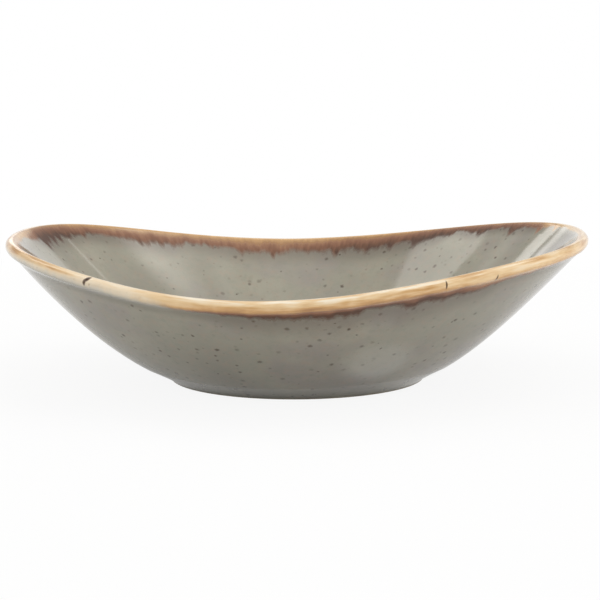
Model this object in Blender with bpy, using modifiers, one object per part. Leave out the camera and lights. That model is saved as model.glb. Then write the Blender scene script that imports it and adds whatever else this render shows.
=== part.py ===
# Sauce bowl: one pressed stoneware shell on a low foot ring, round at the foot and oval at the
# rolled rim, whose two ends are drawn up, with the coats of glaze that are fired onto it.
# Metres, +Z up, +X along the bowl; the origin is on the table under the middle of the foot.

import math

import bmesh
import bpy
from mathutils import Vector

# Overall sizes
LENGTH = 0.130              # over the rim, from end to end
WIDTH = 0.117               # over the rim, from side to side
END_HEIGHT = 0.0332         # crest of the rim at the drawn-up ends
SIDE_HEIGHT = 0.0253        # crest of the rim at the sides
TIP_FULLNESS = 0.022        # swelling of the oval beside its ends, as a share of its radius
TIP_SPREAD = math.radians(56)   # how far round from an end that swelling goes

# Foot
FOOT_DIAMETER = 0.058
FOOT_WIDTH = 0.0040         # of the ring that stands on the table
FOOT_BARE = 0.0004          # clay wiped clean of glaze, up from the table
FOOT_SIDE = 0.0004          # glazed side of the foot, up to the start of the wall
RECESS_DEPTH = 0.0014       # hollow under the base, inside the ring

# Wall
WALL = 0.0030               # halfway up
RIM_WALL = 0.0023           # at the rim
BASE = 0.0032               # at the centre
FOOT_BELLY = math.radians(22)   # wall at the foot, flatter than the line from foot to rim
RIM_BELLY = math.radians(8)     # wall at the rim, steeper than that line

# Rolled rim
RIM_ROLL = 0.00045          # reach of the bead past the outside of the wall
RIM_FILLET = 0.0040         # hollow between the bead and the wall below it

# Glaze
GLAZE = 0.0004
GLAZE_GAP = 0.0001          # between a coat and the clay, and between two coats
RIM_BAND = 0.0030           # reach of the rim's coat down the inside, below the bead

# Facets
SEGMENTS = 60               # round the bowl
WALL_STEPS = 6              # up the outside
INSIDE_STEPS = 4            # in each half of the inside
BEAD_STEPS = 3              # in a quarter turn of the bead
EDGE_STEPS = 2              # in a small rounding
SHARP_ANGLE = math.radians(40)  # edges that turn more than this are shaded crisp
WELD = 0.00001              # points of the turned piece closer than this are one

BEAD_RADIUS = (RIM_WALL + RIM_ROLL) / 2
COAT_DEPTH = GLAZE + GLAZE_GAP
FOOT_RADIUS = FOOT_DIAMETER / 2
RING_INSIDE = FOOT_RADIUS - FOOT_WIDTH
BARE_EDGE = FOOT_BARE - GLAZE_GAP
FLOOR = RECESS_DEPTH + BASE
QUARTER = math.pi / 2


# Outlines are paths of radius and height in a half section, with the clay on their left
def polar(angle):
    return Vector((math.cos(angle), math.sin(angle)))


def angle_of(direction):
    return math.atan2(direction.y, direction.x)


def left_of(direction):
    return Vector((-direction.y, direction.x)).normalized()


def arc(centre, radius, start, end, steps):
    turn = (end - start) / steps
    return [centre + radius * polar(start + turn * step) for step in range(steps + 1)]


def quadratic(start, control, end, share):
    return start.lerp(control, share).lerp(control.lerp(end, share), share)


# The path moved into the clay by an even depth; a point on the axis stays on it
def inset(skin, depth):
    moved = []
    for index, point in enumerate(skin):
        behind = max(index, 1)
        ahead = min(index + 1, len(skin) - 1)
        side = left_of(skin[behind] - skin[behind - 1])
        inward = (side + left_of(skin[ahead] - skin[ahead - 1])).normalized()
        shifted = point + inward * depth / inward.dot(side)
        moved.append(Vector((shifted.x if point.x else 0.0, shifted.y)))
    return moved


def coat(skin):
    return skin + inset(skin, GLAZE)[::-1]


# Foot, the same all round
def recess_skin():
    corner = RECESS_DEPTH - FOOT_BARE
    centre = Vector((RING_INSIDE - corner, FOOT_BARE))
    return [Vector((0.0, RECESS_DEPTH))] + arc(centre, corner, QUARTER, 0.0, EDGE_STEPS)


def contact_skin():
    inner = Vector((RING_INSIDE + BARE_EDGE, BARE_EDGE))
    outer = Vector((FOOT_RADIUS - BARE_EDGE, BARE_EDGE))
    return (arc(inner, BARE_EDGE, 2 * QUARTER, 3 * QUARTER, EDGE_STEPS)
            + arc(outer, BARE_EDGE, -QUARTER, 0.0, EDGE_STEPS))


# Rim, an oval with blunt ends that rises towards both of them
def rim_radius(angle):
    oval = LENGTH * WIDTH / 2 / math.hypot(WIDTH * math.cos(angle), LENGTH * math.sin(angle))
    from_end = math.asin(abs(math.sin(angle)))
    swelling = math.sin(math.pi * min(from_end / TIP_SPREAD, 1.0)) ** 2
    return oval * (1 + TIP_FULLNESS * swelling)


def rim_height(angle):
    along = rim_radius(angle) * math.cos(angle) / (LENGTH / 2)
    rise = along ** 2 * (3 - along ** 2) / 2
    return SIDE_HEIGHT + (END_HEIGHT - SIDE_HEIGHT) * rise


# Skins of the half section at one angle: up the outside, over the bead, down to the middle
def section(angle):
    foot = Vector((FOOT_RADIUS, FOOT_BARE + FOOT_SIDE))
    bead = Vector((rim_radius(angle) - BEAD_RADIUS, rim_height(angle) - BEAD_RADIUS))
    lean = angle_of(bead - foot)
    upward = polar(lean + RIM_BELLY)
    inward = left_of(upward)
    top = bead - inward * (BEAD_RADIUS - RIM_ROLL)

    # Outside of the wall, a curve that leaves the foot and meets the rim at the belly angles
    chord = top - foot
    sweep = math.sin(lean + RIM_BELLY - angle_of(chord)) / math.sin(FOOT_BELLY + RIM_BELLY)
    control = foot + polar(lean - FOOT_BELLY) * chord.length * sweep
    rim_pace = 2 * (top - control).length

    # Hollow under the bead, and the bead, with corners on its widest point and its crest
    hollow_drop = math.sqrt(RIM_ROLL * (2 * RIM_FILLET + 2 * BEAD_RADIUS - RIM_ROLL))
    hollow = top - upward * hollow_drop - inward * RIM_FILLET
    seat = angle_of(bead - hollow)
    wall_end = 1 - hollow_drop / rim_pace
    wall = [quadratic(foot, control, top, wall_end * step / WALL_STEPS) for step in range(WALL_STEPS)]
    fillet = arc(hollow, RIM_FILLET, angle_of(inward), seat, EDGE_STEPS)
    roll = arc(bead, BEAD_RADIUS, seat - 2 * QUARTER, 0.0, BEAD_STEPS)[1:]
    roll += arc(bead, BEAD_RADIUS, 0.0, QUARTER, BEAD_STEPS)[1:]
    roll += arc(bead, BEAD_RADIUS, QUARTER, angle_of(inward), BEAD_STEPS - 1)[1:]

    # Inside: the wall's thickness above its middle, then one sweep down to a level floor
    def inside_wall(share):
        across = left_of((control - foot).lerp(top - control, share))
        thickness = WALL + (RIM_WALL - WALL) * (2 * share - 1) ** 2
        return quadratic(foot, control, top, share) + across * thickness

    band_end = 1 - RIM_BAND / rim_pace
    coat_start = band_end - GLAZE_GAP / rim_pace
    middle = inside_wall(0.5)
    centre = Vector((0.0, FLOOR))
    floor_turn = Vector((middle.x - (middle.y - FLOOR) / math.tan(angle_of(chord)), FLOOR))
    shares = [step / INSIDE_STEPS for step in range(INSIDE_STEPS)]
    upper = [inside_wall(coat_start + (0.5 - coat_start) * share) for share in shares]
    lower = [quadratic(middle, floor_turn, centre, share) for share in shares]
    return {
        "outside_glaze": [Vector((FOOT_RADIUS, FOOT_BARE))] + wall + fillet[:1],
        "rim_glaze": [fillet[0] + upward * GLAZE_GAP] + fillet[1:] + roll + [inside_wall(band_end)],
        "inside_glaze": upper + lower + [centre],
    }


# The clay lies a coat's depth under the glaze and comes out to the table at the foot
def clay_outline(skins):
    under = recess_skin() + [Vector((RING_INSIDE, BARE_EDGE))]
    over = [Vector((FOOT_RADIUS, BARE_EDGE))]
    over += skins["outside_glaze"] + skins["rim_glaze"] + skins["inside_glaze"]
    return inset(under, COAT_DEPTH) + contact_skin() + inset(over, COAT_DEPTH)


# Bodies
def add_body(name, mesh, colour, roughness):
    material = bpy.data.materials.new(name)
    material.use_nodes = True
    shader = material.node_tree.nodes["Principled BSDF"]
    shader.inputs["Base Color"].default_value = (*colour, 1.0)
    shader.inputs["Roughness"].default_value = roughness
    shader.inputs["Metallic"].default_value = 0.0
    mesh.materials.append(material)
    mesh.shade_smooth()
    mesh.set_sharp_from_angle(angle=SHARP_ANGLE)
    body = bpy.data.objects.new(name, mesh)
    bpy.data.collections["sauce_bowl"].objects.link(body)
    return body


# A closed surface through the outlines of all the sections, with one point for each on the axis
def loft(name, outlines):
    cage = bmesh.new()
    poles = {}
    rings = []
    for index, outline in enumerate(outlines):
        turn = polar(4 * QUARTER * index / len(outlines))
        ring = []
        for place, point in enumerate(outline):
            if point.x == 0.0 and place not in poles:
                poles[place] = cage.verts.new((0.0, 0.0, point.y))
            corner = (turn.x * point.x, turn.y * point.x, point.y)
            ring.append(cage.verts.new(corner) if point.x else poles[place])
        rings.append(ring)
    for ring, beside in zip(rings, rings[1:] + rings[:1]):
        for place in range(len(ring)):
            corners = [ring[place - 1], ring[place], beside[place], beside[place - 1]]
            corners = list(dict.fromkeys(corners))
            if len(corners) > 2:
                cage.faces.new(corners)
    bmesh.ops.triangulate(cage, faces=cage.faces, quad_method="SHORT_EDGE")
    bmesh.ops.recalc_face_normals(cage, faces=cage.faces)
    mesh = bpy.data.meshes.new(name)
    cage.to_mesh(mesh)
    cage.free()
    return mesh


# A turned piece: its profile, from the axis out, down its outer side and back, spun by a modifier
def profile_mesh(name, outline):
    mesh = bpy.data.meshes.new(name)
    points = [(point.x, 0.0, point.y) for point in outline]
    edges = [(index, index + 1) for index in range(len(points) - 1)]
    mesh.from_pydata(points, edges, [])
    return mesh


def spin(body):
    screw = body.modifiers.new("turn", "SCREW")
    screw.axis = "Z"
    screw.angle = 4 * QUARTER
    screw.steps = SEGMENTS
    screw.render_steps = SEGMENTS
    screw.use_merge_vertices = True
    screw.merge_threshold = WELD
    screw.use_smooth_shade = True


def build_bowl():
    glaze_grey = (0.26, 0.245, 0.20)
    sections = [section(4 * QUARTER * index / SEGMENTS) for index in range(SEGMENTS)]
    clay = loft("clay_body", [clay_outline(skins) for skins in sections])
    add_body("clay_body", clay, (0.47, 0.37, 0.26), 0.85)
    coats = {"outside_glaze": glaze_grey, "rim_glaze": (0.55, 0.39, 0.22), "inside_glaze": glaze_grey}
    for name, colour in coats.items():
        add_body(name, loft(name, [coat(skins[name]) for skins in sections]), colour, 0.2)
    under = profile_mesh("underside_glaze", coat(recess_skin())[::-1])
    spin(add_body("underside_glaze", under, glaze_grey, 0.2))


for item in list(bpy.data.objects):
    bpy.data.objects.remove(item, do_unlink=True)
bpy.context.scene.collection.children.link(bpy.data.collections.new("sauce_bowl"))
build_bowl()
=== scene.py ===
# Sauce bowl in glazed stoneware: a round foot, an oval rolled rim with raised ends, brown glaze on the rim.
# Metres, +X along the bowl, +Z up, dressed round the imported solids.

import math

import bmesh
import bpy
from mathutils import Matrix, Vector, noise


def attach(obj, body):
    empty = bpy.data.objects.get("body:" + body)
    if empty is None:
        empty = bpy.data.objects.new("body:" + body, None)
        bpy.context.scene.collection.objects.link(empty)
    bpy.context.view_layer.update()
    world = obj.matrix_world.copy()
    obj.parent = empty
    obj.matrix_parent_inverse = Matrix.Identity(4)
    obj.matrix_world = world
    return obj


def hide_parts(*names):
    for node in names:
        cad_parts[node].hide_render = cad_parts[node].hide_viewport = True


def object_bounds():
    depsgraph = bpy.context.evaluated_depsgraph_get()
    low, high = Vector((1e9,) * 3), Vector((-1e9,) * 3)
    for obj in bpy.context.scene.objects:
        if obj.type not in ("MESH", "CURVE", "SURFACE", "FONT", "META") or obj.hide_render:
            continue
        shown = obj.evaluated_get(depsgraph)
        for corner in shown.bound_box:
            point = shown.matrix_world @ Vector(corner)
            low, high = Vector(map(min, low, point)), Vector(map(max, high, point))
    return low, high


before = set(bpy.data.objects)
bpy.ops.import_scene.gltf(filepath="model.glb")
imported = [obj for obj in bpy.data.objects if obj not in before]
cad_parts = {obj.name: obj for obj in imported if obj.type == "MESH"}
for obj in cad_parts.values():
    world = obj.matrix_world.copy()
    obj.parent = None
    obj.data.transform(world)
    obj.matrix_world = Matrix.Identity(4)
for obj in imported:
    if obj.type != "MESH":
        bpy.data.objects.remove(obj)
cadLow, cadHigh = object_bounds()
print("frame loaded:", ", ".join(sorted(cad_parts)))

# Shape of the shell, which every coat shares
bowl = {
    "length": cadHigh.x - cadLow.x,
    "width": cadHigh.y - cadLow.y,
    "endHeight": cadHigh.z,
    "sideHeight": 0.0253,       # crest of the rim at the low sides
    "sideShift": 0.085,         # lowest point of the rim, as a share of the half length towards -X
    "leftDrop": 0.0003,         # the end at -X is this much lower
    "footLean": 0.00015,        # the foot stands this far towards -X from the middle of the rim
    "wallLean": 0.0011,         # and the middle of the wall is drawn the same way
    "leanTop": 0.0300,          # no lean from this height up
    "tipFullness": 0.022,       # swelling of the oval beside its ends
    "tipSpread": math.radians(56),
    "footRadius": 0.0292,
    "footWidth": 0.0040,
    "wallStart": 0.00084,       # height at which the wall's curve starts
    "footBare": 0.0004,         # clay wiped clean on the inner side of the ring, up from the table
    "footTuck": 0.0005,         # how far in the glaze ends, under the start of the wall
    "footEdge": 0.00012,        # height at which it ends
    "footSweep": 0.22,          # share of the wall that sweeps softly into the foot
    "recessDepth": 0.0014,
    "wall": 0.0030,
    "rimWall": 0.0023,
    "base": 0.0032,
    "footBelly": math.radians(21.3),
    "rimBelly": math.radians(7.6),
    "rimRoll": 0.00045,
    "rimFillet": 0.0065,
    "rimBand": 0.0030,          # how far the rim's coat goes down the inside
    "glaze": 0.0004,
    "clayGap": 0.0001,
    "ringPoints": 256,
    "crestWave": 0.00012,       # the rim's hand-finished unevenness, always downwards
    "crestScale": 3.0,          # more gives shorter waves round the rim
    "crestSeed": 7.0,
    "skinWave": 0.00006,        # the wall's, always into the clay
    "waveLength": 0.022,
    "waveStart": 6,             # points up from the foot over which it sets in
    "sharpAngle": math.radians(40),
}
# How many steps each stretch of the section has
steps = {
    "foot": 16,
    "wall": 44,
    "hollow": 14,
    "beadOut": 16,
    "beadUp": 14,
    "beadIn": 12,
    "band": 8,
    "inside": 24,
    "floor": 40,
    "recess": 12,
    "recessCorner": 8,
    "footEdge": 6,
}
beadRadius = (bowl["rimWall"] + bowl["rimRoll"]) / 2
ringInside = bowl["footRadius"] - bowl["footWidth"]
floorHeight = bowl["recessDepth"] + bowl["base"]
bareEdge = bowl["footBare"] - bowl["clayGap"]
quarter = math.pi / 2
pole = 1e-6             # points this close to the axis, or to each other, are one
farFromRim = 0.1        # run of a point that the wash never reaches


def polar(angle):
    return Vector((math.cos(angle), math.sin(angle)))


def angleOf(way):
    return math.atan2(way.y, way.x)


def leftOf(way):
    return Vector((-way.y, way.x)).normalized()


def arc(centre, radius, start, end, count):
    return [centre + radius * polar(start + (end - start) * step / count) for step in range(count + 1)]


def curve(start, control, end, share):
    return start.lerp(control, share).lerp(control.lerp(end, share), share)


def shares(count):
    return [step / count for step in range(count + 1)]


def rimRadius(angle):
    oval = bowl["length"] * bowl["width"] / 2 / math.hypot(
        bowl["width"] * math.cos(angle), bowl["length"] * math.sin(angle))
    fromEnd = math.asin(min(1.0, abs(math.sin(angle))))
    swelling = math.sin(math.pi * min(fromEnd / bowl["tipSpread"], 1.0)) ** 2
    return oval * (1 + bowl["tipFullness"] * swelling)


def rimHeight(angle):
    along = rimRadius(angle) * math.cos(angle) / (bowl["length"] / 2)
    along = max(-1.0, min(1.0, along + bowl["sideShift"] * (1 - along ** 2)))
    rise = along ** 2 * (3 - along ** 2) / 2
    around = polar(angle) * bowl["crestScale"]
    wave = 0.5 + 0.5 * noise.noise(Vector((around.x, around.y, bowl["crestSeed"])))
    end = bowl["endHeight"] - bowl["leftDrop"] * (1 - along) / 2
    crest = bowl["sideHeight"] + (end - bowl["sideHeight"]) * rise
    return crest - bowl["crestWave"] * wave * (1 - rise ** 4)


# How far the bowl is drawn towards -X at a height
def leanAt(height):
    share = min(1.0, max(0.0, height / bowl["leanTop"]))
    return -bowl["footLean"] * (1 - share) ** 2 - 2 * bowl["wallLean"] * share * (1 - share)


# Half section at one angle, as paths of radius and height with the clay on their left
def section(angle):
    foot = Vector((bowl["footRadius"], bowl["wallStart"]))
    bead = Vector((rimRadius(angle) - beadRadius, rimHeight(angle) - beadRadius))
    lean = angleOf(bead - foot)
    upward = polar(lean + bowl["rimBelly"])
    inward = leftOf(upward)
    top = bead - inward * (beadRadius - bowl["rimRoll"])
    chord = top - foot
    bend = bowl["footBelly"] + bowl["rimBelly"]
    sweep = math.sin(lean + bowl["rimBelly"] - angleOf(chord)) / math.sin(bend)
    control = foot + polar(lean - bowl["footBelly"]) * chord.length * sweep
    rimPace = 2 * (top - control).length
    hollowDrop = math.sqrt(bowl["rimRoll"] * (2 * bowl["rimFillet"] + 2 * beadRadius - bowl["rimRoll"]))
    hollow = top - upward * hollowDrop - inward * bowl["rimFillet"]
    seat = angleOf(bead - hollow)
    wallEnd = 1 - hollowDrop / rimPace

    def insideWall(share):
        across = leftOf((control - foot).lerp(top - control, share))
        thickness = bowl["wall"] + (bowl["rimWall"] - bowl["wall"]) * (2 * share - 1) ** 2
        return curve(foot, control, top, share) + across * thickness

    bandEnd = 1 - bowl["rimBand"] / rimPace
    middle = insideWall(0.5)
    centre = Vector((0.0, floorHeight))
    floorTurn = Vector((middle.x - (middle.y - floorHeight) / math.tan(angleOf(chord)), floorHeight))
    tuck = Vector((bowl["footRadius"] - bowl["footTuck"], bowl["footEdge"]))
    sweepShare = bowl["footSweep"]
    sweepEnd = curve(foot, control, top, sweepShare)
    wallShares = [sweepShare + (wallEnd - sweepShare) * share for share in shares(steps["wall"])]
    outside = [curve(tuck, foot, sweepEnd, share) for share in shares(steps["foot"])[:-1]]
    outside += [curve(foot, control, top, share) for share in wallShares]
    rim = outside[-1:] + arc(hollow, bowl["rimFillet"], angleOf(inward), seat, steps["hollow"])[1:]
    rim += arc(bead, beadRadius, seat - 2 * quarter, 0.0, steps["beadOut"])[1:]
    rim += arc(bead, beadRadius, 0.0, quarter, steps["beadUp"])[1:]
    crestPlace = len(outside) + len(rim) - 2
    rim += arc(bead, beadRadius, quarter, angleOf(inward), steps["beadIn"])[1:]
    rim += [insideWall(1 + (bandEnd - 1) * share) for share in shares(steps["band"])[1:]]
    inside = rim[-1:]
    inside += [insideWall(bandEnd + (0.5 - bandEnd) * share) for share in shares(steps["inside"])[1:]]
    inside += [curve(middle, floorTurn, centre, share) for share in shares(steps["floor"])[1:]]

    # Distance along the skin from the crest, plus inside and minus outside
    path = outside + rim[1:] + inside[1:]
    runs = [0.0]
    for before, after in zip(path, path[1:]):
        runs.append(runs[-1] + (after - before).length)
    runs = [run - runs[crestPlace] for run in runs]
    path = handWave(path, angle)
    rimStart = len(outside) - 1
    insideStart = rimStart + len(rim) - 1
    whole = list(zip(path, runs))
    return {
        "outside": whole[:rimStart + 1],
        "rim": whole[rimStart:insideStart + 1],
        "inside": whole[insideStart:],
    }


# Slight unevenness of a pressed and sponged wall, always into the clay
def handWave(path, angle):
    moved = []
    for place, point in enumerate(path):
        ahead = path[min(place + 1, len(path) - 1)]
        behind = path[max(place - 1, 0)]
        spot = Vector((point.x * math.cos(angle), point.x * math.sin(angle), point.y))
        wave = 0.5 + 0.5 * noise.noise(spot / bowl["waveLength"])
        fade = min(1.0, place / bowl["waveStart"])
        shifted = point + leftOf(ahead - behind) * bowl["skinWave"] * wave * fade
        moved.append(Vector((shifted.x if point.x > pole else 0.0, shifted.y)))
    return moved


# A path set into the clay by an even depth
def inset(path, depth):
    moved = []
    for place, point in enumerate(path):
        behind = max(place, 1)
        ahead = min(place + 1, len(path) - 1)
        side = leftOf(path[behind] - path[behind - 1])
        inward = (side + leftOf(path[ahead] - path[ahead - 1])).normalized()
        shifted = point + inward * depth / inward.dot(side)
        moved.append(Vector((shifted.x if point.x > pole else 0.0, shifted.y)))
    return moved


# Hollow inside the foot ring, from its middle out to the bare clay
def undersidePath():
    corner = bowl["recessDepth"] - bowl["footBare"]
    centre = Vector((ringInside - corner, bowl["footBare"]))
    level = [Vector((centre.x * share, bowl["recessDepth"])) for share in shares(steps["recess"])[:-1]]
    return level + arc(centre, corner, quarter, 0.0, steps["recessCorner"])


# Bare ring that stands on the table, with both its edges rounded
def contactPath():
    centre = Vector((ringInside + bareEdge, bareEdge))
    inner = arc(centre, bareEdge, 2 * quarter, 3 * quarter, steps["footEdge"])
    rounding = bowl["footEdge"]
    centre = Vector((bowl["footRadius"] - bowl["footTuck"] - rounding, rounding))
    return inner + arc(centre, rounding, -quarter, 0.0, steps["footEdge"])


ringAngles = [4 * quarter * index / bowl["ringPoints"] for index in range(bowl["ringPoints"])]
sections = [section(angle) for angle in ringAngles]
print("sections worked out:", len(sections))

# How the iron wash lies on the rim, by angle round the bowl: its reach from the crest, the tone that it
# runs to (0.1 cream, 0.4 tan, 0.7 brown, 1 darkest, more is dark sooner) and how ragged its lower edge is
ironWash = {
    "inside": [
        # degrees, reach mm, tone, rag mm
        (0, 1.2, 0.10, 0.3),
        (14, 1.4, 0.15, 0.4),
        (22, 1.8, 0.34, 0.5),
        (28, 2.4, 0.78, 0.7),
        (34, 2.7, 0.92, 0.8),
        (38, 2.2, 0.86, 0.7),
        (45, 3.1, 1.05, 0.8),
        (51, 2.2, 0.86, 0.7),
        (56, 3.5, 1.22, 0.8),
        (61, 4.1, 1.08, 0.9),
        (67, 4.8, 0.98, 1.0),
        (73, 5.2, 1.02, 1.0),
        (83, 5.1, 0.92, 1.0),
        (92, 4.6, 0.75, 0.9),
        (102, 4.9, 0.72, 0.9),
        (111, 4.6, 0.72, 0.9),
        (123, 3.7, 0.70, 0.8),
        (131, 5.0, 0.82, 0.9),
        (139, 5.0, 0.80, 0.9),
        (145, 4.0, 0.74, 0.9),
        (152, 4.0, 0.82, 0.9),
        (162, 4.6, 1.10, 0.9),
        (171, 4.6, 1.20, 0.9),
        (176, 3.4, 0.68, 0.7),
        (182, 2.2, 0.26, 0.5),
        (200, 2.6, 0.50, 1.0),
        (230, 3.8, 0.68, 1.3),
        (270, 4.5, 0.72, 1.4),
        (310, 3.8, 0.75, 1.3),
        (340, 2.4, 0.40, 0.8),
    ],
    "outside": [
        (0, 3.8, 0.62, 0.4),
        (20, 4.6, 0.75, 0.8),
        (60, 5.2, 0.90, 0.9),
        (100, 5.0, 0.85, 0.9),
        (140, 4.4, 0.75, 0.8),
        (168, 3.3, 0.35, 0.4),
        (185, 2.0, 0.12, 0.3),
        (215, 2.0, 0.07, 0.3),
        (238, 2.2, 0.08, 0.3),
        (245, 2.8, 0.16, 0.4),
        (250, 3.4, 0.42, 0.6),
        (256, 4.0, 0.72, 0.6),
        (263, 5.2, 1.18, 0.7),
        (272, 5.8, 1.28, 0.8),
        (279, 6.3, 1.44, 0.9),
        (286, 6.7, 1.50, 0.9),
        (289, 5.6, 1.18, 0.6),
        (294, 5.4, 1.12, 0.5),
        (297, 6.9, 1.60, 0.9),
        (303, 7.0, 1.60, 1.0),
        (308, 6.6, 1.20, 0.9),
        (314, 6.2, 0.82, 0.7),
        (321, 4.9, 0.60, 0.5),
        (334, 4.3, 0.52, 0.4),
        (348, 3.9, 0.60, 0.4),
    ],
}
# Golden brush strokes over the crest, by angle: how strong they are
goldStrokes = [
    (0, 0.7),
    (20, 0.2),
    (150, 0.2),
    (172, 0.8),
    (190, 1.0),
    (218, 0.9),
    (228, 0.2),
    (240, 0.2),
    (246, 0.6),
    (254, 0.1),
    (296, 0.1),
    (306, 0.4),
    (330, 0.5),
]


# Eased value at an angle, from rows that start with their degrees
def between(stops, angle):
    turn = math.degrees(angle) % 360
    for before, after in zip(stops, stops[1:] + [(stops[0][0] + 360,) + stops[0][1:]]):
        if before[0] <= turn <= after[0]:
            share = (turn - before[0]) / (after[0] - before[0])
            share = share * share * (3 - 2 * share)
            return [low + (high - low) * share for low, high in zip(before[1:], after[1:])]


def brushAt(side, angle):
    reach, tone, rag = between(ironWash[side], angle)
    return Vector((reach / 1000, tone, rag / 1000))


brushes = {side: [brushAt(side, angle) for angle in ringAngles] for side in ironWash}
strokes = [between(goldStrokes, angle)[0] for angle in ringAngles]


# One ring of points is placed by its angle, so each extruded ring takes the section's next station
def placeRing(mesh, station):
    cage = bmesh.from_edit_mesh(mesh)
    flow = cage.verts.layers.float_vector["flow"]
    brush = cage.verts.layers.float_vector["brush"]
    gild = cage.verts.layers.float["gild"]
    for point in cage.verts:
        if point.select:
            turn = math.atan2(point.co.y, point.co.x - leanAt(point.co.z))
            index = round(turn / ringAngles[1]) % bowl["ringPoints"]
            place, run = station[index]
            way = polar(ringAngles[index])
            rim = way * rimRadius(ringAngles[index])
            point.co = (way.x * place.x + leanAt(place.y), way.y * place.x, place.y)
            point[flow] = (rim.x, rim.y, run)
            point[brush] = brushes["inside" if run > 0 else "outside"][index]
            point[gild] = strokes[index]
    bmesh.update_edit_mesh(mesh)


# A new piece, as its first ring
def startRing(name, station):
    bpy.ops.object.select_all(action="DESELECT")
    bpy.ops.mesh.primitive_circle_add(
        vertices=bowl["ringPoints"], radius=bowl["footRadius"], location=(leanAt(0.0), 0.0, 0.0))
    bpy.ops.object.transform_apply(location=True)
    piece = bpy.context.object
    piece.name = piece.data.name = name
    piece.data.attributes.new("flow", "FLOAT_VECTOR", "POINT")
    piece.data.attributes.new("brush", "FLOAT_VECTOR", "POINT")
    piece.data.attributes.new("gild", "FLOAT", "POINT")
    bpy.ops.object.mode_set(mode="EDIT")
    bpy.ops.mesh.select_all(action="SELECT")
    placeRing(piece.data, station)
    return piece


# Its further rings, each extruded from the last
def growRings(piece, stations):
    for station in stations:
        bpy.ops.mesh.extrude_edges_move()
        placeRing(piece.data, station)


# The poles are merged, the faces turned outwards and the coat given its thickness
def finishCoat(piece, outwards, thickness):
    bpy.ops.mesh.select_all(action="SELECT")
    bpy.ops.mesh.remove_doubles(threshold=pole)
    bpy.ops.mesh.normals_make_consistent(inside=False)
    cage = bmesh.from_edit_mesh(piece.data)
    cage.faces.ensure_lookup_table()
    cage.normal_update()
    first = cage.faces[0]
    if first.normal.dot(outwards(first.calc_center_median())) < 0:
        bpy.ops.mesh.flip_normals()
    bpy.ops.object.mode_set(mode="OBJECT")
    if thickness:
        shell = piece.modifiers.new("coat", "SOLIDIFY")
        shell.thickness = thickness
        shell.offset = -1
        shell.use_even_offset = True
        bpy.ops.object.modifier_apply(modifier=shell.name)
    bpy.ops.object.shade_smooth_by_angle(angle=bowl["sharpAngle"])
    print(piece.name, "modelled:", len(piece.data.polygons), "faces")
    return piece


# The points of one zone, ring by ring
def stationsOf(zone):
    return [[part[zone][step] for part in sections] for step in range(len(sections[0][zone]))]


# A coat faces away from the axis, or towards it where facing is -1
def coat(name, stations, facing):
    piece = startRing(name, stations[0])
    growRings(piece, stations[1:])
    return finishCoat(piece, lambda spot: Vector((facing * spot.x, facing * spot.y, 0)), bowl["glaze"])


# Outside coat, from the foot up to the hollow under the bead
outsideGlaze = coat("outsideGlaze", stationsOf("outside"), 1)

# Rim coat, over the bead and a little way down the inside
rimGlaze = coat("rimGlaze", stationsOf("rim"), 1)

# Inside coat, down to the middle of the floor
insideGlaze = coat("insideGlaze", stationsOf("inside"), -1)

# Underside coat, in the hollow inside the foot ring
recess = [[(point, -farFromRim)] * bowl["ringPoints"] for point in undersidePath()[::-1]]
undersideGlaze = coat("undersideGlaze", recess, -1)


# Clay body, a coat's depth under the glaze, out to the table at the foot
def clayPath(part):
    depth = bowl["glaze"] + bowl["clayGap"]
    skin = part["outside"] + part["rim"][1:] + part["inside"][1:]
    under = inset(undersidePath() + [Vector((ringInside, bareEdge))], depth)
    over = inset([point for point, run in skin], depth)
    return [(point, -farFromRim) for point in under + contactPath() + over]


clayPaths = [clayPath(part) for part in sections]
clayStations = [[path[step] for path in clayPaths] for step in range(len(clayPaths[0]))]
clayBody = startRing("clayBody", clayStations[1])
growRings(clayBody, clayStations[2:])
bpy.ops.mesh.select_all(action="DESELECT")
cage = bmesh.from_edit_mesh(clayBody.data)
cage.verts.ensure_lookup_table()
for point in cage.verts[:bowl["ringPoints"]]:
    point.select = True
cage.select_flush(True)
bmesh.update_edit_mesh(clayBody.data)
growRings(clayBody, clayStations[:1])
finishCoat(clayBody, lambda spot: Vector((0, 0, -1)), 0)


def linear(hexColour):
    channels = [int(hexColour[place:place + 2], 16) / 255 for place in (1, 3, 5)]
    return [c / 12.92 if c <= 0.04045 else ((c + 0.055) / 1.055) ** 2.4 for c in channels] + [1.0]


# Adds a node: settings are its own properties, inputs are values or the sockets that feed them
def addNode(tree, kind, settings, inputs):
    item = tree.nodes.new("ShaderNode" + kind)
    for name, value in settings.items():
        if name == "stops":
            while len(item.color_ramp.elements) < len(value):
                item.color_ramp.elements.new(1.0)
            for element, (place, colour) in zip(item.color_ramp.elements, value):
                element.position = place
                element.color = linear(colour)
        else:
            setattr(item, name, value)
    for name, value in inputs.items():
        if isinstance(value, bpy.types.NodeSocket):
            tree.links.new(value, item.inputs[name])
        else:
            item.inputs[name].default_value = value
    return item


# Settings that many nodes share
eased = {"interpolation_type": "SMOOTHSTEP"}
inColour = {"data_type": "RGBA"}


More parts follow.
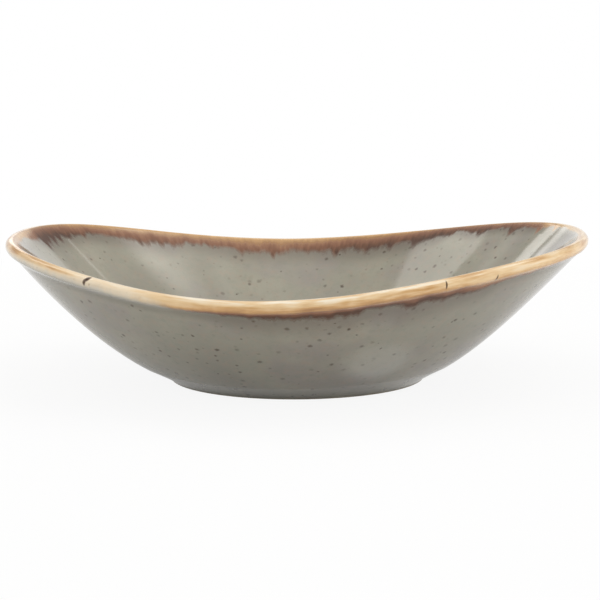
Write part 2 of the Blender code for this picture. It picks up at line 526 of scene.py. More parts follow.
# Reactive stoneware glaze: a glossy grey-green coat, cloudy and speckled with iron, that breaks to cream,
# tan and ragged dark brown where the rim took an iron wash
reactiveGlaze = {
    "clouds": [(0.30, "#979283"), (0.50, "#a19d8c"), (0.70, "#aca694")],
    "cloudSize": 0.020,
    "mauveColour": "#99908a",           # broad mauve clouds
    "mauveSize": 0.013,
    "mauveNoise": (0.46, 0.68),         # where in the noise they start, and where they are full
    "mauveShare": 0.55,
    "fleckColours": ["#ad9784", "#8c907f"],     # pinkish and greenish flecks that float in the grey
    "fleckSize": 0.0018,
    "fleckNoise": (0.45, 0.75),
    "fleckShare": 0.42,
    # painted shade over the whole outside, which faces down and gets less light
    "outsidePaintedShade": "#ececed",
    "crestSeam": 0.0002,                # half width of the change from outside to inside at the crest
    "washTones": [
        (0.00, "#fdf2dc"),
        (0.11, "#efd0a2"),
        (0.25, "#d2a56e"),
        (0.40, "#b28659"),
        (0.54, "#97694a"),
        (0.68, "#83563a"),
        (0.84, "#6b4327"),
        (1.00, "#512e14"),
    ],
    "haloTones": [(0.10, "#dad5c9"), (0.45, "#978c7b"), (0.80, "#71665a")],
    "haloReach": (2.3, 0.9),            # it fades out and is full at these shares of the wash's reach
    "haloShare": 0.75,
    "hollowShadeColour": "#7a7566",            # painted shade in the hollow under the bead, where the bead shades the wall
    "hollowShadeBelow": 0.0049,                # the hollow's distance from the crest
    "hollowShadeSpread": (0.0028, 0.0002),     # how far from there it fades out, and where it is full
    "hollowShadeShare": 0.70,
    "streakWidths": (0.0009, 0.0045),   # fine and broad streaks down the wall
    "streakStretch": 0.36,
    "broadWeight": 1.6,                 # the broad ones against the fine ones
    "ragGain": 2.6,                     # noise keeps to its middle, so it is spread out
    "streakNoise": (0.25, 0.75),
    "streakTone": (0.78, 1.24),         # what a streak does to the wash's tone
    "lateStart": 0.18,                  # share of the reach that stays pale on the outside
    "earlyStart": 0.04,                 # and on the inside
    "latePower": 3.0,                   # how slowly the brown comes in from there on
    "earlyPower": 0.57,
    "lateEven": 0.40,                   # how much of an even rise is mixed in on the outside
    "strokeWidth": 0.0008,              # golden brush strokes along the bead
    "strokeLength": 0.0070,
    "strokeNoise": (0.40, 0.75),
    "strokeMottle": 0.14,               # what they do to the tone on the outside
    "strokeBelow": 0.0005,              # they lie about this line outside the crest
    "strokeSpread": (0.0017, 0.0006),
    "strokeShare": 0.40,
    "strokeLeast": 0.40,                # share of it that is left between two strokes
    "paleTone": (0.10, 0.60),           # tones between which the wash's outside edge turns crisp
    "paleEdge": (0.60, 0.14),           # how soft it is at these two
    "insideEdge": 0.22,                 # and on the inside
    "warpSize": 0.0009,                 # specks aren't quite round
    "warpShift": 0.0006,
    "specks": [
        # colour, cell, share of the cells without one, radii as shares of the cell, strengths
        ("#6a634f", 0.0020, 0.40, (0.08, 0.30), (0.08, 0.40)),      # faint freckles
        ("#4a3a29", 0.0021, 0.45, (0.16, 0.38), (0.20, 0.95)),      # iron speckles
    ],
    "speckCore": 0.25,                  # share of a speck's radius that is full
    "crackColour": "#41240f",
    "crackZone": 0.010,                 # keeps a crack to its own side of the bowl
    "crackEdge": (1.6, 0.1),
    "cracks": [
        # degrees round the rim, distance from the crest at the middle mm, length mm, width mm, slant, depth
        (229.5, -1.00, 1.6, 1.15, -0.40, 1.00),
        (229.0, -1.90, 1.5, 0.80, 0.05, 0.90),
        (303.8, -1.90, 2.0, 0.42, 0.00, 0.95),
        (315.0, -3.00, 1.7, 0.45, 0.00, 0.90),
    ],
    "drips": [
        # degrees round the rim, how far the wash ran on mm, half width mm
        (18.5, 1.2, 0.8),
        (25.3, 1.9, 1.3),
        (34.4, 1.9, 1.5),
        (43.4, 1.4, 1.5),
        (52.0, 0.9, 1.2),
        (61.0, 1.0, 2.0),
        (68.2, 1.5, 1.3),
        (74.5, 0.8, 1.1),
        (83.2, 1.8, 1.3),
        (91.0, 0.8, 1.1),
        (100.3, 1.6, 0.9),
        (109.0, 0.4, 1.2),
        (117.0, 0.5, 1.2),
        (125.0, 0.5, 1.1),
        (131.0, 0.9, 1.2),
        (137.0, 0.8, 0.9),
        (146.5, 0.6, 1.2),
        (153.0, 0.9, 1.0),
        (158.5, 0.8, 1.4),
        (163.0, 1.5, 1.5),
        (166.2, 1.7, 1.5),
        (168.8, 2.1, 1.5),
        (171.4, 2.5, 1.7),
    ],
    "peelSize": 0.0045,                 # faint orange peel of a fired glaze
    "peelDepth": 0.0002,
    "peelStrength": 0.10,
    "roughness": 0.07,
    "washRoughness": 0.46,              # a thick wash starves the glaze, so it is less glossy
    "mattTone": (0.25, 0.65),           # tones between which that sets in
    "ior": 1.52,
}


# Where a point lies on the rim, and how the wash was brushed on there
def rimPlace(tree, look):
    flow = addNode(tree, "Attribute", {"attribute_name": "flow"}, {}).outputs["Vector"]
    brush = addNode(tree, "Attribute", {"attribute_name": "brush"}, {}).outputs["Vector"]
    run = addNode(tree, "SeparateXYZ", {}, {0: flow}).outputs[2]
    reach, tone, rag = addNode(tree, "SeparateXYZ", {}, {0: brush}).outputs
    return {
        "flow": flow,
        "run": run,
        "reach": reach,
        "tone": tone,
        "rag": rag,
        "gild": addNode(tree, "Attribute", {"attribute_name": "gild"}, {}).outputs["Fac"],
        "distance": addNode(tree, "Math", {"operation": "ABSOLUTE"}, {0: run}).outputs[0],
        "inner": addNode(tree, "MapRange", {}, {
            0: run, 1: -look["crestSeam"], 2: look["crestSeam"], 3: 0.0, 4: 1.0}).outputs[0],
        "outer": addNode(tree, "MapRange", {}, {
            0: run, 1: -look["crestSeam"], 2: look["crestSeam"], 3: 1.0, 4: 0.0}).outputs[0],
    }


# Clouds in the grey, with flecks of pinkish brown and moss
def greyClouds(tree, look, spot):
    cloud = addNode(tree, "TexNoise", {}, {
        "Vector": spot, "Scale": 1 / look["cloudSize"], "Detail": 3.0}).outputs[0]
    grey = addNode(tree, "ValToRGB", {"stops": look["clouds"]}, {0: cloud}).outputs[0]
    mauve = addNode(tree, "TexNoise", {}, {
        "Vector": spot, "Scale": 1 / look["mauveSize"], "Detail": 2.0, "Roughness": 0.6}).outputs[0]
    mauve = addNode(tree, "MapRange", eased, {
        0: mauve, 1: look["mauveNoise"][0], 2: look["mauveNoise"][1],
        3: 0.0, 4: look["mauveShare"]}).outputs[0]
    grey = addNode(tree, "Mix", inColour, {0: mauve, 6: grey, 7: linear(look["mauveColour"])}).outputs[2]
    fleck = addNode(tree, "TexNoise", {}, {
        "Vector": spot, "Scale": 1 / look["fleckSize"], "Detail": 4.0, "Roughness": 0.7}).outputs[1]
    channels = addNode(tree, "SeparateColor", {}, {0: fleck}).outputs
    for channel, colour in zip(channels, look["fleckColours"]):
        amount = addNode(tree, "MapRange", eased, {
            0: channel, 1: look["fleckNoise"][0], 2: look["fleckNoise"][1],
            3: 0.0, 4: look["fleckShare"]}).outputs[0]
        grey = addNode(tree, "Mix", inColour, {0: amount, 6: grey, 7: linear(colour)}).outputs[2]
    return grey


# The outside is darkened with painted shade, as it faces down and gets less light than the inside. It is
# paler or darker next to the wash, and darker with painted shade in the hollow under the bead
def shadeRound(tree, look, rim, grey):
    # painted shade on the outside coat
    grey = addNode(tree, "Mix", {"data_type": "RGBA", "blend_type": "MULTIPLY"}, {
        0: rim["outer"], 6: grey, 7: linear(look["outsidePaintedShade"])}).outputs[2]
    share = addNode(tree, "Math", {"operation": "DIVIDE"}, {0: rim["distance"], 1: rim["reach"]}).outputs[0]
    halo = addNode(tree, "ValToRGB", {"stops": look["haloTones"]}, {0: rim["tone"]}).outputs[0]
    near = addNode(tree, "MapRange", eased, {
        0: share, 1: look["haloReach"][0], 2: look["haloReach"][1], 3: 0.0, 4: look["haloShare"]}).outputs[0]
    grey = addNode(tree, "Mix", inColour, {0: near, 6: grey, 7: halo}).outputs[2]
    # painted shade, darkest along the hollow under the bead
    hollowShade = addNode(tree, "Math", {"operation": "ADD"}, {0: rim["run"], 1: look["hollowShadeBelow"]}).outputs[0]
    hollowShade = addNode(tree, "Math", {"operation": "ABSOLUTE"}, {0: hollowShade}).outputs[0]
    hollowShade = addNode(tree, "MapRange", eased, {
        0: hollowShade, 1: look["hollowShadeSpread"][0], 2: look["hollowShadeSpread"][1], 3: 0.0, 4: look["hollowShadeShare"]}).outputs[0]
    return addNode(tree, "Mix", inColour, {0: hollowShade, 6: grey, 7: linear(look["hollowShadeColour"])}).outputs[2]


# Faint freckles and dark iron speckles, one to a cell where the cell's own random number is high enough
def speckled(tree, look, spot, grey):
    warp = addNode(tree, "TexNoise", {}, {
        "Vector": spot, "Scale": 1 / look["warpSize"], "Detail": 2.0}).outputs[1]
    warped = addNode(tree, "VectorMath", {"operation": "MULTIPLY_ADD"}, {
        0: warp, 1: (look["warpShift"],) * 3, 2: spot}).outputs[0]
    for colour, cell, least, radii, strengths in look["specks"]:
        cells = addNode(tree, "TexVoronoi", {}, {"Vector": warped, "Scale": 1 / cell})
        chance, vigour = addNode(tree, "SeparateColor", {}, {0: cells.outputs["Color"]}).outputs[:2]
        size = addNode(tree, "MapRange", {}, {
            0: chance, 1: least, 2: 1.0, 3: radii[0], 4: radii[1]}).outputs[0]
        core = addNode(tree, "Math", {"operation": "MULTIPLY"}, {0: size, 1: look["speckCore"]}).outputs[0]
        dot = addNode(tree, "MapRange", eased, {
            0: cells.outputs["Distance"], 1: size, 2: core, 3: 0.0, 4: 1.0}).outputs[0]
        kept = addNode(tree, "Math", {"operation": "GREATER_THAN"}, {0: chance, 1: least}).outputs[0]
        depth = addNode(tree, "MapRange", {}, {0: vigour, 3: strengths[0], 4: strengths[1]}).outputs[0]
        depth = addNode(tree, "Math", {"operation": "MULTIPLY"}, {0: depth, 1: kept}).outputs[0]
        mask = addNode(tree, "Math", {"operation": "MULTIPLY"}, {0: depth, 1: dot}).outputs[0]
        grey = addNode(tree, "Mix", inColour, {0: mask, 6: grey, 7: linear(colour)}).outputs[2]
    return grey


# Streaks down the wall, which draw out the lower edge of the iron wash
def raggedReach(tree, look, rim):
    along = addNode(tree, "VectorMath", {"operation": "MULTIPLY"}, {
        0: rim["flow"], 1: (1.0, 1.0, look["streakStretch"])}).outputs[0]
    fine, broad = [
        addNode(tree, "TexNoise", {}, {
            "Vector": along, "Scale": 1 / width, "Detail": 2.0}).outputs[0]
        for width in look["streakWidths"]]
    both = addNode(tree, "Math", {"operation": "MULTIPLY_ADD"}, {
        0: broad, 1: look["broadWeight"], 2: fine}).outputs[0]
    middle = (1 + look["broadWeight"]) / 2
    both = addNode(tree, "Math", {"operation": "SUBTRACT"}, {0: both, 1: middle}).outputs[0]
    ragged = addNode(tree, "Math", {"operation": "MULTIPLY"}, {0: both, 1: rim["rag"]}).outputs[0]
    ragged = addNode(tree, "Math", {"operation": "MULTIPLY_ADD"}, {
        0: ragged, 1: look["ragGain"], 2: rim["reach"]}).outputs[0]
    return fine, ragged


# Drips, where the wash ran on down the inside
def drippedReach(tree, look, rim, ragged):
    level = addNode(tree, "VectorMath", {"operation": "MULTIPLY"}, {
        0: rim["flow"], 1: (1.0, 1.0, 0.0)}).outputs[0]
    dripped = ragged
    for degrees, length, halfWidth in look["drips"]:
        way = polar(math.radians(degrees)) * rimRadius(math.radians(degrees))
        aside = addNode(tree, "VectorMath", {"operation": "DISTANCE"}, {
            0: level, 1: (way.x, way.y, 0.0)}).outputs["Value"]
        drip = addNode(tree, "MapRange", eased, {
            0: aside, 1: halfWidth / 1000, 2: 0.0, 3: 0.0, 4: 1.0}).outputs[0]
        drip = addNode(tree, "Math", {"operation": "SQRT"}, {0: drip}).outputs[0]
        drip = addNode(tree, "Math", {"operation": "MULTIPLY"}, {0: drip, 1: rim["inner"]}).outputs[0]
        dripped = addNode(tree, "Math", {"operation": "MULTIPLY_ADD"}, {
            0: drip, 1: length / 1000, 2: dripped}).outputs[0]
    return dripped


# Tone of the wash: it turns brown early on the inside and late on the outside
def washTone(tree, look, rim, streaks, ragged):
    share = addNode(tree, "Math", {"operation": "DIVIDE"}, {0: rim["distance"], 1: ragged}).outputs[0]
    slow, quick = [
        addNode(tree, "MapRange", {}, {0: share, 1: look[start], 2: 1.0, 3: 0.0, 4: 1.0}).outputs[0]
        for start in ("lateStart", "earlyStart")]
    late = addNode(tree, "Math", {"operation": "POWER"}, {0: slow, 1: look["latePower"]}).outputs[0]
    late = addNode(tree, "Mix", {}, {0: look["lateEven"], 2: late, 3: slow}).outputs[0]
    early = addNode(tree, "Math", {"operation": "POWER"}, {0: quick, 1: look["earlyPower"]}).outputs[0]
    pitch = addNode(tree, "Mix", {}, {0: rim["inner"], 2: late, 3: early}).outputs[0]
    streak = addNode(tree, "MapRange", {}, {
        0: streaks, 1: look["streakNoise"][0], 2: look["streakNoise"][1],
        3: look["streakTone"][0], 4: look["streakTone"][1]}).outputs[0]
    return addNode(tree, "Math", {"operation": "MULTIPLY"}, {0: pitch, 1: streak}).outputs[0]


# Golden brush strokes, which mottle the outside and lie thickest over the crest
def gilded(tree, look, rim, pitch):
    stretch = look["strokeWidth"] / look["strokeLength"]
    along = addNode(tree, "VectorMath", {"operation": "MULTIPLY"}, {
        0: rim["flow"], 1: (stretch, stretch, 1.0)}).outputs[0]
    gold = addNode(tree, "TexNoise", {}, {
        "Vector": along, "Scale": 1 / look["strokeWidth"], "Detail": 2.0}).outputs[0]
    gold = addNode(tree, "MapRange", {}, {
        0: gold, 1: look["strokeNoise"][0], 2: look["strokeNoise"][1], 3: 0.0, 4: 1.0}).outputs[0]
    mottle = addNode(tree, "Math", {"operation": "MULTIPLY"}, {
        0: rim["outer"], 1: look["strokeMottle"]}).outputs[0]
    pitch = addNode(tree, "Math", {"operation": "MULTIPLY_ADD"}, {0: gold, 1: mottle, 2: pitch}).outputs[0]
    pitch = addNode(tree, "Math", {"operation": "MULTIPLY"}, {0: pitch, 1: rim["tone"]}).outputs[0]
    crest = addNode(tree, "Math", {"operation": "ADD"}, {0: rim["run"], 1: look["strokeBelow"]}).outputs[0]
    crest = addNode(tree, "Math", {"operation": "ABSOLUTE"}, {0: crest}).outputs[0]
    crest = addNode(tree, "MapRange", eased, {
        0: crest, 1: look["strokeSpread"][0], 2: look["strokeSpread"][1],
        3: 0.0, 4: look["strokeShare"]}).outputs[0]
    crest = addNode(tree, "Math", {"operation": "MULTIPLY"}, {0: crest, 1: rim["gild"]}).outputs[0]
    gold = addNode(tree, "MapRange", {}, {0: gold, 3: look["strokeLeast"], 4: 1.0}).outputs[0]
    return addNode(tree, "Math", {"operation": "MULTIPLY_ADD", "use_clamp": True}, {
        0: gold, 1: crest, 2: pitch}).outputs[0]


# Where the wash covers the grey: its edge is soft where it is pale, and crisp where it is dark
def washCover(tree, look, rim, dripped):
    edge = addNode(tree, "Math", {"operation": "DIVIDE"}, {0: rim["distance"], 1: dripped}).outputs[0]
    soft = addNode(tree, "MapRange", {}, {
        0: rim["tone"], 1: look["paleTone"][0], 2: look["paleTone"][1],
        3: look["paleEdge"][0], 4: look["paleEdge"][1]}).outputs[0]
    soft = addNode(tree, "Mix", {}, {0: rim["inner"], 2: soft, 3: look["insideEdge"]}).outputs[0]
    far = addNode(tree, "Math", {"operation": "ADD"}, {0: 1.0, 1: soft}).outputs[0]
    close = addNode(tree, "Math", {"operation": "SUBTRACT"}, {0: 1.0, 1: soft}).outputs[0]
    return addNode(tree, "MapRange", eased, {0: edge, 1: far, 2: close, 3: 0.0, 4: 1.0}).outputs[0]


# Short kiln cracks across the bead
def cracked(tree, look, rim, colour):
    nudge = 0.01        # a small turn, which gives the rim's own direction
    for degrees, middle, length, width, slant, depth in look["cracks"]:
        angle = math.radians(degrees)
        way = polar(angle) * rimRadius(angle)
        ahead = (polar(angle + nudge) * rimRadius(angle + nudge) - way).normalized()
        outward = way.normalized()
        offset = addNode(tree, "VectorMath", {"operation": "SUBTRACT"}, {
            0: rim["flow"], 1: (way.x, way.y, middle / 1000)}).outputs[0]
        far = 0.0
        for axis, size in (
                ((ahead.x, ahead.y, slant), width / 2000),
                ((0.0, 0.0, 1.0), length / 2000),
                ((outward.x, outward.y, 0.0), look["crackZone"])):
            part = addNode(tree, "VectorMath", {"operation": "DOT_PRODUCT"}, {
                0: offset, 1: axis}).outputs["Value"]
            part = addNode(tree, "Math", {"operation": "DIVIDE"}, {0: part, 1: size}).outputs[0]
            far = addNode(tree, "Math", {"operation": "MULTIPLY_ADD"}, {0: part, 1: part, 2: far}).outputs[0]
        line = addNode(tree, "MapRange", eased, {
            0: far, 1: look["crackEdge"][0], 2: look["crackEdge"][1], 3: 0.0, 4: depth}).outputs[0]
        colour = addNode(tree, "Mix", inColour, {
            0: line, 6: colour, 7: linear(look["crackColour"])}).outputs[2]
    return colour


def glazeMaterial(name):
    look = reactiveGlaze
    material = bpy.data.materials.new(name)
    material.use_nodes = True
    tree = material.node_tree
    shader = tree.nodes["Principled BSDF"]
    spot = addNode(tree, "TexCoord", {}, {}).outputs["Object"]
    rim = rimPlace(tree, look)
    grey = greyClouds(tree, look, spot)
    grey = shadeRound(tree, look, rim, grey)
    grey = speckled(tree, look, spot, grey)
    streaks, ragged = raggedReach(tree, look, rim)
    pitch = gilded(tree, look, rim, washTone(tree, look, rim, streaks, ragged))
    wash = addNode(tree, "ValToRGB", {"stops": look["washTones"]}, {0: pitch}).outputs[0]
    cover = washCover(tree, look, rim, drippedReach(tree, look, rim, ragged))
    colour = addNode(tree, "Mix", inColour, {0: cover, 6: grey, 7: wash}).outputs[2]
    colour = cracked(tree, look, rim, colour)
    matt = addNode(tree, "MapRange", eased, {
        0: pitch, 1: look["mattTone"][0], 2: look["mattTone"][1],
        3: look["roughness"], 4: look["washRoughness"]}).outputs[0]
    matt = addNode(tree, "Mix", {}, {0: cover, 2: look["roughness"], 3: matt}).outputs[0]
    peel = addNode(tree, "TexNoise", {}, {
        "Vector": spot, "Scale": 1 / look["peelSize"], "Detail": 1.0}).outputs[0]
    bump = addNode(tree, "Bump", {}, {
        "Strength": look["peelStrength"], "Distance": look["peelDepth"], "Height": peel}).outputs[0]
    tree.links.new(colour, shader.inputs["Base Color"])
    tree.links.new(bump, shader.inputs["Normal"])
    tree.links.new(matt, shader.inputs["Roughness"])
    shader.inputs["IOR"].default_value = look["ior"]
    return material


# Bare fired stoneware: matt, sandy and a little toasted, with fine dark grog
bareStoneware = {
    "tones": [(0.25, "#a5957f"), (0.55, "#b5a690"), (0.8, "#c0b29c")],
    "toneSize": 0.006,
    "grogColour": "#6f6150",
    "grogCell": 0.0011,
    "grogEdge": (0.26, 0.12),       # radii where it fades out and is full, as shares of the cell
    "grogShare": 0.6,
    "sandSize": 0.0004,
    "sandDepth": 0.0001,
    "sandStrength": 0.4,
    "roughness": 0.85,
}


def clayMaterial(name):
    look = bareStoneware
    material = bpy.data.materials.new(name)
    material.use_nodes = True
    tree = material.node_tree
    shader = tree.nodes["Principled BSDF"]
    spot = addNode(tree, "TexCoord", {}, {}).outputs["Object"]
    cloud = addNode(tree, "TexNoise", {}, {"Vector": spot, "Scale": 1 / look["toneSize"], "Detail": 5.0})
    toned = addNode(tree, "ValToRGB", {"stops": look["tones"]}, {0: cloud.outputs[0]}).outputs[0]
    cells = addNode(tree, "TexVoronoi", {}, {"Vector": spot, "Scale": 1 / look["grogCell"]})
    grog = addNode(tree, "MapRange", {}, {
        0: cells.outputs["Distance"], 1: look["grogEdge"][0], 2: look["grogEdge"][1],
        3: 0.0, 4: look["grogShare"]}).outputs[0]
    colour = addNode(tree, "Mix", inColour, {0: grog, 6: toned, 7: linear(look["grogColour"])}).outputs[2]
    sand = addNode(tree, "TexNoise", {}, {
        "Vector": spot, "Scale": 1 / look["sandSize"], "Detail": 3.0}).outputs[0]
    bump = addNode(tree, "Bump", {}, {
        "Strength": look["sandStrength"], "Distance": look["sandDepth"], "Height": sand}).outputs[0]
    tree.links.new(colour, shader.inputs["Base Color"])
    tree.links.new(bump, shader.inputs["Normal"])
    shader.inputs["Roughness"].default_value = look["roughness"]
    return material


pieces = [
    (clayBody, "clay_body", "clay", clayMaterial("bare stoneware")),
    (outsideGlaze, "outside_glaze", "outside", glazeMaterial("grey reactive glaze, outside")),
    (rimGlaze, "rim_glaze", "rim", glazeMaterial("iron-washed glaze, rim")),
    (insideGlaze, "inside_glaze", "inside", glazeMaterial("grey reactive glaze, inside")),
    (undersideGlaze, "underside_glaze", "underside", glazeMaterial("grey reactive glaze, underside")),
]
for piece, cadNode, slotName, material in pieces:
    piece.data.materials.clear()
    piece.data.materials.append(material)
    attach(piece, "root")
    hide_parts(cadNode)
print("pieces ride on root:", len(pieces))

# Camera: a long lens, a little above the rim and a little to the right
shot = {
    "distance": 0.430,
    "elevation": math.radians(8.08),
    "turn": math.radians(4.04),
    "roll": math.radians(0.32),
    "aside": 0.000521,
    "height": 0.01737,
    "pixelsPerMetre": 4406.9,
    "imageWidth": 600,
    "sensorWidth": 36.0,
    "clipStart": 0.01,
}
back = Vector((
    math.sin(shot["turn"]) * math.cos(shot["elevation"]),
    -math.cos(shot["turn"]) * math.cos(shot["elevation"]),
    math.sin(shot["elevation"])))
right = Vector((math.cos(shot["turn"]), math.sin(shot["turn"]), 0.0))
above = back.cross(right)
rolledRight = right * math.cos(shot["roll"]) - above * math.sin(shot["roll"])
rolledUp = right * math.sin(shot["roll"]) + above * math.cos(shot["roll"])
target = right * shot["aside"] + Vector((0.0, 0.0, shot["height"]))
lensData = bpy.data.cameras.new("camera")
lensData.sensor_width = shot["sensorWidth"]
lensData.lens = shot["sensorWidth"] * shot["pixelsPerMetre"] * shot["distance"] / shot["imageWidth"]
lensData.clip_start = shot["clipStart"]
camera = bpy.data.objects.new("camera", lensData)
bpy.context.scene.collection.objects.link(camera)
camera.matrix_world = Matrix.Translation(target + back * shot["distance"]) @ Matrix(
    (rolledRight, rolledUp, back)).transposed().to_4x4()
bpy.context.scene.camera = camera
print("camera set, lens", round(lensData.lens, 1))

# Floor: white paper that keeps the bowl's soft shadow near it and is plain white further off
floorLook = {
    "size": 3.0,
    "colour": "#f6f6f6",
    "shadowReach": 0.07,                    # the faint shadow shows up to here
    "whiteFrom": 0.24,                      # and is gone from here on
    "seenWhite": 0.90,                      # share of plain white even where it shows
    "mirroredWhite": (0.28, 0.26),          # how bright the glaze mirrors it under the bowl, and further off
    "mirroredFrom": (0.028, 0.060),         # distances between which that changes
    "mirroredFront": (-0.12, 0.02, 0.30),   # y between which it darkens towards the front, and how far
    "litSpot": (0.0222, -0.0330, 0.0),      # where the light table under the paper is brighter
    "litTurn": math.radians(31),            # the spot is long along the foot
    "litReach": (0.0135, 0.0078, 1.0),
    "litWhite": 1.20,
    "litSide": (0.012, 0.032),              # and it is a little brighter from here towards +X
    "litSideWhite": 0.18,
}
bpy.ops.object.select_all(action="DESELECT")
bpy.ops.mesh.primitive_plane_add(size=floorLook["size"])
floor = bpy.context.object
floor.name = "floor"
floorMaterial = bpy.data.materials.new("white paper")
floorMaterial.use_nodes = True
tree = floorMaterial.node_tree
tree.nodes.clear()
spot = addNode(tree, "TexCoord", {}, {}).outputs["Object"]
away = addNode(tree, "VectorMath", {"operation": "LENGTH"}, {0: spot}).outputs["Value"]
plain = addNode(tree, "MapRange", eased, {
    0: away, 1: floorLook["shadowReach"], 2: floorLook["whiteFrom"], 3: 0.0, 4: 1.0}).outputs[0]
light = addNode(tree, "LightPath", {}, {})
mirrored = addNode(tree, "Math", {"operation": "MAXIMUM"}, {
    0: light.outputs["Is Glossy Ray"], 1: light.outputs["Is Transmission Ray"]}).outputs[0]
lit = addNode(tree, "Mapping", {"vector_type": "TEXTURE"}, {
    "Vector": spot, "Location": floorLook["litSpot"],
    "Rotation": (0.0, 0.0, floorLook["litTurn"]), "Scale": floorLook["litReach"]}).outputs[0]
lit = addNode(tree, "VectorMath", {"operation": "LENGTH"}, {0: lit}).outputs["Value"]
lit = addNode(tree, "MapRange", eased, {0: lit, 1: 1.0, 2: 0.0, 3: 0.0, 4: floorLook["litWhite"]}).outputs[0]
base = addNode(tree, "MapRange", eased, {
    0: away, 1: floorLook["mirroredFrom"][0], 2: floorLook["mirroredFrom"][1],
    3: floorLook["mirroredWhite"][0], 4: floorLook["mirroredWhite"][1]}).outputs[0]
place = addNode(tree, "SeparateXYZ", {}, {0: spot}).outputs
side = addNode(tree, "MapRange", eased, {
    0: place[0], 1: floorLook["litSide"][0], 2: floorLook["litSide"][1],
    3: 0.0, 4: floorLook["litSideWhite"]}).outputs[0]
for more in (base, side):
    lit = addNode(tree, "Math", {"operation": "ADD", "use_clamp": True}, {0: lit, 1: more}).outputs[0]
front = addNode(tree, "MapRange", eased, {
    0: place[1], 1: floorLook["mirroredFront"][0], 2: floorLook["mirroredFront"][1],
    3: floorLook["mirroredFront"][2], 4: 1.0}).outputs[0]
front = addNode(tree, "Math", {"operation": "MULTIPLY"}, {0: front, 1: plain}).outputs[0]
bright = addNode(tree, "Math", {"operation": "MAXIMUM"}, {0: front, 1: lit}).outputs[0]
mirrored = addNode(tree, "Math", {"operation": "MULTIPLY"}, {0: mirrored, 1: bright}).outputs[0]
seen = addNode(tree, "Math", {"operation": "MAXIMUM"}, {0: plain, 1: floorLook["seenWhite"]}).outputs[0]
seen = addNode(tree, "Math", {"operation": "MULTIPLY"}, {
    0: seen, 1: light.outputs["Is Camera Ray"]}).outputs[0]
share = addNode(tree, "Math", {"operation": "MAXIMUM"}, {0: mirrored, 1: seen}).outputs[0]
paper = addNode(tree, "BsdfDiffuse", {}, {"Color": linear(floorLook["colour"])}).outputs[0]
glow = addNode(tree, "Emission", {}, {}).outputs[0]
mixed = addNode(tree, "MixShader", {}, {0: share, 1: paper, 2: glow}).outputs[0]
addNode(tree, "OutputMaterial", {}, {"Surface": mixed})
floor.data.materials.append(floorMaterial)

# Soft studio light: a white room, softboxes above and behind the bowl, and white panels at its sides
studio = {
    "room": 0.78,               # white walls, as they light the bowl
    "backdrop": 0.95,           # the white sweep behind the bowl, as the glaze mirrors it
    "ceiling": (0.46, 0.82),    # and the darker room above it, from low to high
    "frontWall": 0.05,          # and in front of it
    "backdropTop": (0.265, 0.31),   # sine of the elevations between which it ends
    "ceilingRise": (0.40, 0.75),    # and between which the ceiling brightens
    "backdropSide": (-0.30, 0.30),  # and the share towards +Y between which it starts
    "lookAt": (0.0, 0.0, 0.018),
    "lampColour": "#fffcf6",
    "lamps": [
        # name, azimuth from +Y towards +X, elevation, distance, width, height,
        # glow (1 is as bright as white paper), share of the side that fades out at each edge
        ("left softbox", -57, 47, 0.90, 0.19, 0.40, 1.90, 0.08),
        ("right softbox", 54, 54, 0.90, 0.28, 0.34, 2.60, 0.45),
        ("overhead", 0, 88, 0.90, 0.70, 0.70, 0.58, 0.40),
        ("right overhead", 90, 62, 0.90, 0.60, 0.50, 0.90, 0.20),
        ("back softbox", 0, 64, 0.90, 0.80, 0.45, 0.60, 0.30),
        ("right front", 135, 30, 0.90, 0.50, 0.50, 0.15, 0.20),
        ("right panel", 98, 20, 0.90, 0.80, 0.56, 1.08, 0.20),
        ("left panel", -98, 26, 0.90, 0.60, 0.48, 0.75, 0.30),
        ("back panel", -18, 13.5, 0.90, 0.26, 0.20, 1.00, 0.35),
        ("left strip", -21.6, 23.4, 0.90, 0.13, 0.16, 1.80, 0.20),
        ("left fill", -40, 36, 0.90, 0.22, 0.22, 0.70, 0.50),
        ("right strip", 24, 30, 0.90, 0.018, 0.20, 1.30, 0.35),
    ],
}
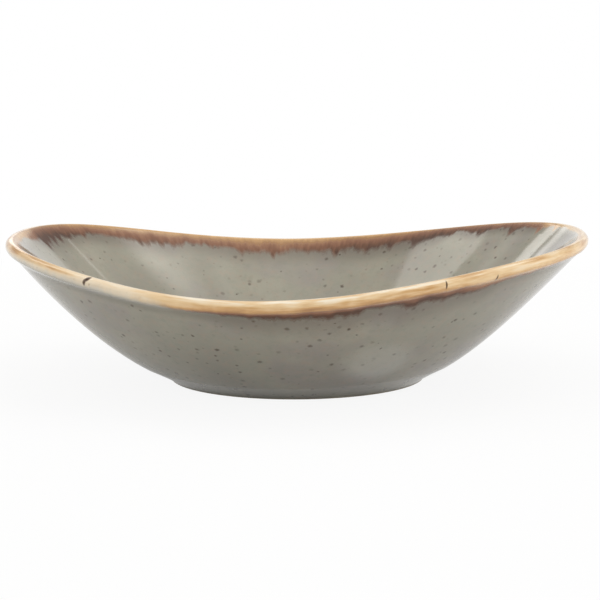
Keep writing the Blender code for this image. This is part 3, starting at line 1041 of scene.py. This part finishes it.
for name, azimuth, elevation, distance, width, height, glow, softEdge in studio["lamps"]:
    lamp = bpy.data.lights.new(name, "AREA")
    lamp.shape = "RECTANGLE"
    lamp.color = linear(studio["lampColour"])[:3]
    lamp.size = width
    lamp.size_y = height
    lamp.energy = glow * math.pi * width * height
    lamp.use_nodes = True
    tree = lamp.node_tree
    place = addNode(tree, "NewGeometry", {}, {}).outputs["Parametric"]
    fromMiddle = addNode(tree, "VectorMath", {"operation": "SUBTRACT"}, {
        0: place, 1: (0.5, 0.5, 0.0)}).outputs[0]
    fromMiddle = addNode(tree, "VectorMath", {"operation": "ABSOLUTE"}, {0: fromMiddle}).outputs[0]
    sides = addNode(tree, "SeparateXYZ", {}, {0: fromMiddle}).outputs
    fade = 1.0
    for side in sides[:2]:
        level = addNode(tree, "MapRange", eased, {
            0: side, 1: 0.5, 2: 0.5 - softEdge, 3: 0.0, 4: 1.0}).outputs[0]
        fade = addNode(tree, "Math", {"operation": "MULTIPLY"}, {0: fade, 1: level}).outputs[0]
    tree.links.new(fade, tree.nodes["Emission"].inputs["Strength"])
    holder = bpy.data.objects.new(name, lamp)
    bpy.context.scene.collection.objects.link(holder)
    turn, lift = math.radians(azimuth), math.radians(elevation)
    way = Vector((math.sin(turn) * math.cos(lift), math.cos(turn) * math.cos(lift), math.sin(lift)))
    holder.location = Vector(studio["lookAt"]) + way * distance
    holder.rotation_euler = way.to_track_quat("Z", "Y").to_euler()

# White room: it lights the bowl evenly, and the glaze mirrors a backdrop under a darker ceiling
world = bpy.data.worlds.new("white room")
bpy.context.scene.world = world
world.use_nodes = True
tree = world.node_tree
tree.nodes.clear()
light = addNode(tree, "LightPath", {}, {})
towards = addNode(tree, "TexCoord", {}, {}).outputs["Generated"]
towards = addNode(tree, "SeparateXYZ", {}, {0: towards}).outputs
low = addNode(tree, "MapRange", eased, {
    0: towards[1], 1: studio["backdropSide"][0], 2: studio["backdropSide"][1],
    3: studio["frontWall"], 4: studio["backdrop"]}).outputs[0]
high = addNode(tree, "MapRange", eased, {
    0: towards[2], 1: studio["ceilingRise"][0], 2: studio["ceilingRise"][1],
    3: studio["ceiling"][0], 4: studio["ceiling"][1]}).outputs[0]
mirrored = addNode(tree, "MapRange", eased, {
    0: towards[2], 1: studio["backdropTop"][0], 2: studio["backdropTop"][1], 3: low, 4: high}).outputs[0]
strength = addNode(tree, "Mix", {}, {
    0: light.outputs["Is Glossy Ray"], 2: studio["room"], 3: mirrored}).outputs[0]
seen = addNode(tree, "Math", {"operation": "MAXIMUM"}, {
    0: light.outputs["Is Camera Ray"], 1: light.outputs["Is Transmission Ray"]}).outputs[0]
strength = addNode(tree, "Mix", {}, {0: seen, 2: strength, 3: 1.0}).outputs[0]
room = addNode(tree, "Background", {}, {"Color": (1, 1, 1, 1), "Strength": strength}).outputs[0]
addNode(tree, "OutputWorld", {}, {"Surface": room})
bpy.context.scene.view_settings.view_transform = "Standard"
print("floor, lamps and room set")
